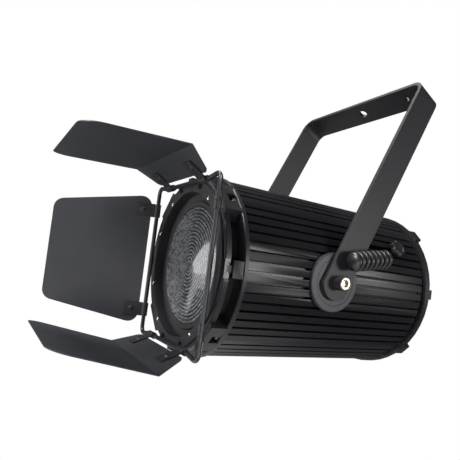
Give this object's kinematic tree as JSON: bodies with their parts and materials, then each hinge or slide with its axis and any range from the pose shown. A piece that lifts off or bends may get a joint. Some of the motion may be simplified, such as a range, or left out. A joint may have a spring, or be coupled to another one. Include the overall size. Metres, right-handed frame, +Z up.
{
  "type": "fresnel spotlight",
  "caption": "Ribbed tube stage lamp with a stepped lens, a flat-bar hanging yoke, a tilt lock lever, a zoom knob and a barn door of hinged leaves on a wire frame.",
  "frame": {"origin": "middle of the hanging hole on the top face of the yoke's crossbar", "axes": "+Z up out of the crossbar along the hanging hole, -Y the way the lamp points (it rests 25.2 degrees nose down), +X the side with the tilt lock lever and the zoom knob"},
  "size_m": [0.3829, 0.5705, 0.5471],
  "materials": {
    "bare_aluminium": "bare extruded",
    "black_anodised_aluminium": "black anodised extrusion",
    "black_cast_aluminium": "satin black coat on a casting",
    "black_powder_coat": "satin black",
    "black_powder_coat_panel": "satin black",
    "black_sleeve": "satin black",
    "black_wire": "satin black",
    "button_plastic": "satin black",
    "circuit_board": "solder mask",
    "display_window": "gloss",
    "fan_plastic": "satin black",
    "knob_plastic": "satin black",
    "latch_plastic": "satin black",
    "leaf_powder_coat": "satin black powder coat",
    "led_ceramic": "phosphor and ceramic",
    "lens_glass": "stepped and stippled",
    "lever_plastic": "satin black",
    "nickel_steel": "bright nickel plate",
    "satin_black_disc": "satin black",
    "socket_plastic": "satin black"
  },
  "bodies": {
    "yoke": {"yoke_bar": "black_powder_coat"},
    "lock_lever": {"lock_hub": "lever_plastic", "lock_grip": "lever_plastic"},
    "head": {"housing": "black_anodised_aluminium", "tilt_disc_near": "satin_black_disc", "tilt_disc_far": "satin_black_disc", "pivot_sleeve_near": "black_sleeve", "pivot_sleeve_far": "black_sleeve", "pivot_bolt_near": "nickel_steel", "pivot_bolt_far": "nickel_steel", "front_bezel": "black_cast_aluminium", "tie_bolt_1": "nickel_steel", "tie_bolt_2": "nickel_steel", "tie_bolt_3": "nickel_steel", "tie_bolt_4": "nickel_steel", "ring_retainer_1": "black_powder_coat", "ring_retainer_2": "black_powder_coat", "ring_retainer_3": "black_powder_coat", "latch_pin": "nickel_steel", "lens_holder": "black_cast_aluminium", "fresnel_lens": "lens_glass", "lens_retaining_ring": "black_cast_aluminium", "guide_rod_near": "nickel_steel", "guide_rod_far": "nickel_steel", "driver_board": "circuit_board", "rear_cap": "black_cast_aluminium", "rear_panel": "black_powder_coat_panel", "display_window": "display_window", "power_inlet": "socket_plastic", "data_inlet": "socket_plastic", "data_outlet": "socket_plastic", "fan_frame": "fan_plastic", "fan_guard": "black_wire"},
    "latch": {"accessory_latch": "latch_plastic"},
    "barn_door": {"barn_door_ring": "black_powder_coat", "wire_frame": "black_wire"},
    "zoom_carriage": {"carriage_plate": "bare_aluminium", "led_board": "led_ceramic", "heat_sink": "bare_aluminium", "zoom_stem": "nickel_steel"},
    "zoom_knob": {"zoom_knob": "knob_plastic"},
    "fan": {"fan_rotor": "fan_plastic"},
    "leaf_top": {"leaf_top": "leaf_powder_coat", "clip_top_1": "black_powder_coat", "clip_top_2": "black_powder_coat"},
    "leaf_bottom": {"leaf_bottom": "leaf_powder_coat", "clip_bottom_1": "black_powder_coat", "clip_bottom_2": "black_powder_coat"},
    "leaf_near": {"leaf_near": "leaf_powder_coat", "clip_near_1": "black_powder_coat", "clip_near_2": "black_powder_coat"},
    "leaf_far": {"leaf_far": "leaf_powder_coat", "clip_far_1": "black_powder_coat", "clip_far_2": "black_powder_coat"},
    "menu_button_1": {"menu_button_1": "button_plastic"},
    "menu_button_2": {"menu_button_2": "button_plastic"},
    "menu_button_3": {"menu_button_3": "button_plastic"},
    "menu_button_4": {"menu_button_4": "button_plastic"}
  },
  "joints": [
    {"name": "head_tilt", "type": "hinge", "parent": "yoke", "child": "head", "pos_m": [0, 0, -0.32], "axis": [1, 0, 0], "range_deg": [-30, 65]},
    {"name": "tilt_lock", "type": "hinge", "parent": "yoke", "child": "lock_lever", "pos_m": [0.1393, 0, -0.288], "axis": [1, 0, 0], "range_deg": [-35, 45]},
    {"name": "barn_door_turn", "type": "hinge", "parent": "head", "child": "barn_door", "pos_m": [0, -0.14948, -0.39034], "axis": [0, 0.9048, 0.4258], "range_deg": [-90, 90]},
    {"name": "leaf_top_hinge", "type": "hinge", "parent": "barn_door", "child": "leaf_top", "pos_m": [0, -0.19376, -0.29624], "axis": [-1, 0, 0], "range_deg": [-45, 68]},
    {"name": "leaf_bottom_hinge", "type": "hinge", "parent": "barn_door", "child": "leaf_bottom", "pos_m": [0, -0.1052, -0.48444], "axis": [1, 0, 0], "range_deg": [-35, 78]},
    {"name": "leaf_near_hinge", "type": "hinge", "parent": "barn_door", "child": "leaf_near", "pos_m": [0.096, -0.14948, -0.39034], "axis": [0, 0.4258, -0.9048], "range_deg": [-37.5, 100.5]},
    {"name": "leaf_far_hinge", "type": "hinge", "parent": "barn_door", "child": "leaf_far", "pos_m": [-0.096, -0.14948, -0.39034], "axis": [0, -0.4258, 0.9048], "range_deg": [-78, 60]},
    {"name": "latch_swing", "type": "hinge", "parent": "head", "child": "latch", "pos_m": [0.1153, -0.13844, -0.38514], "axis": [0, 0.4258, -0.9048], "range_deg": [-60, 0]},
    {"name": "zoom_slide", "type": "slide", "parent": "head", "child": "zoom_carriage", "axis": [0, 0.9048, 0.4258], "range_m": [-0.075, 0.01]},
    {"name": "zoom_knob_turn", "type": "hinge", "parent": "zoom_carriage", "child": "zoom_knob", "pos_m": [0.10419, 0.08409, -0.21921], "axis": [0.8829, -0.1999, 0.4248], "range_deg": [-120, 120]},
    {"name": "fan_spin", "type": "hinge", "parent": "head", "child": "fan", "pos_m": [0, 0.1394, -0.21462], "axis": [0, 0.9048, 0.4258], "continuous": true},
    {"name": "menu_button_1_press", "type": "slide", "parent": "head", "child": "menu_button_1", "axis": [0, -0.9048, -0.4258], "range_m": [0, 0.0012], "stiffness_N_per_m": 500},
    {"name": "menu_button_2_press", "type": "slide", "parent": "head", "child": "menu_button_2", "axis": [0, -0.9048, -0.4258], "range_m": [0, 0.0012], "stiffness_N_per_m": 500},
    {"name": "menu_button_3_press", "type": "slide", "parent": "head", "child": "menu_button_3", "axis": [0, -0.9048, -0.4258], "range_m": [0, 0.0012], "stiffness_N_per_m": 500},
    {"name": "menu_button_4_press", "type": "slide", "parent": "head", "child": "menu_button_4", "axis": [0, -0.9048, -0.4258], "range_m": [0, 0.0012], "stiffness_N_per_m": 500}
  ]
}
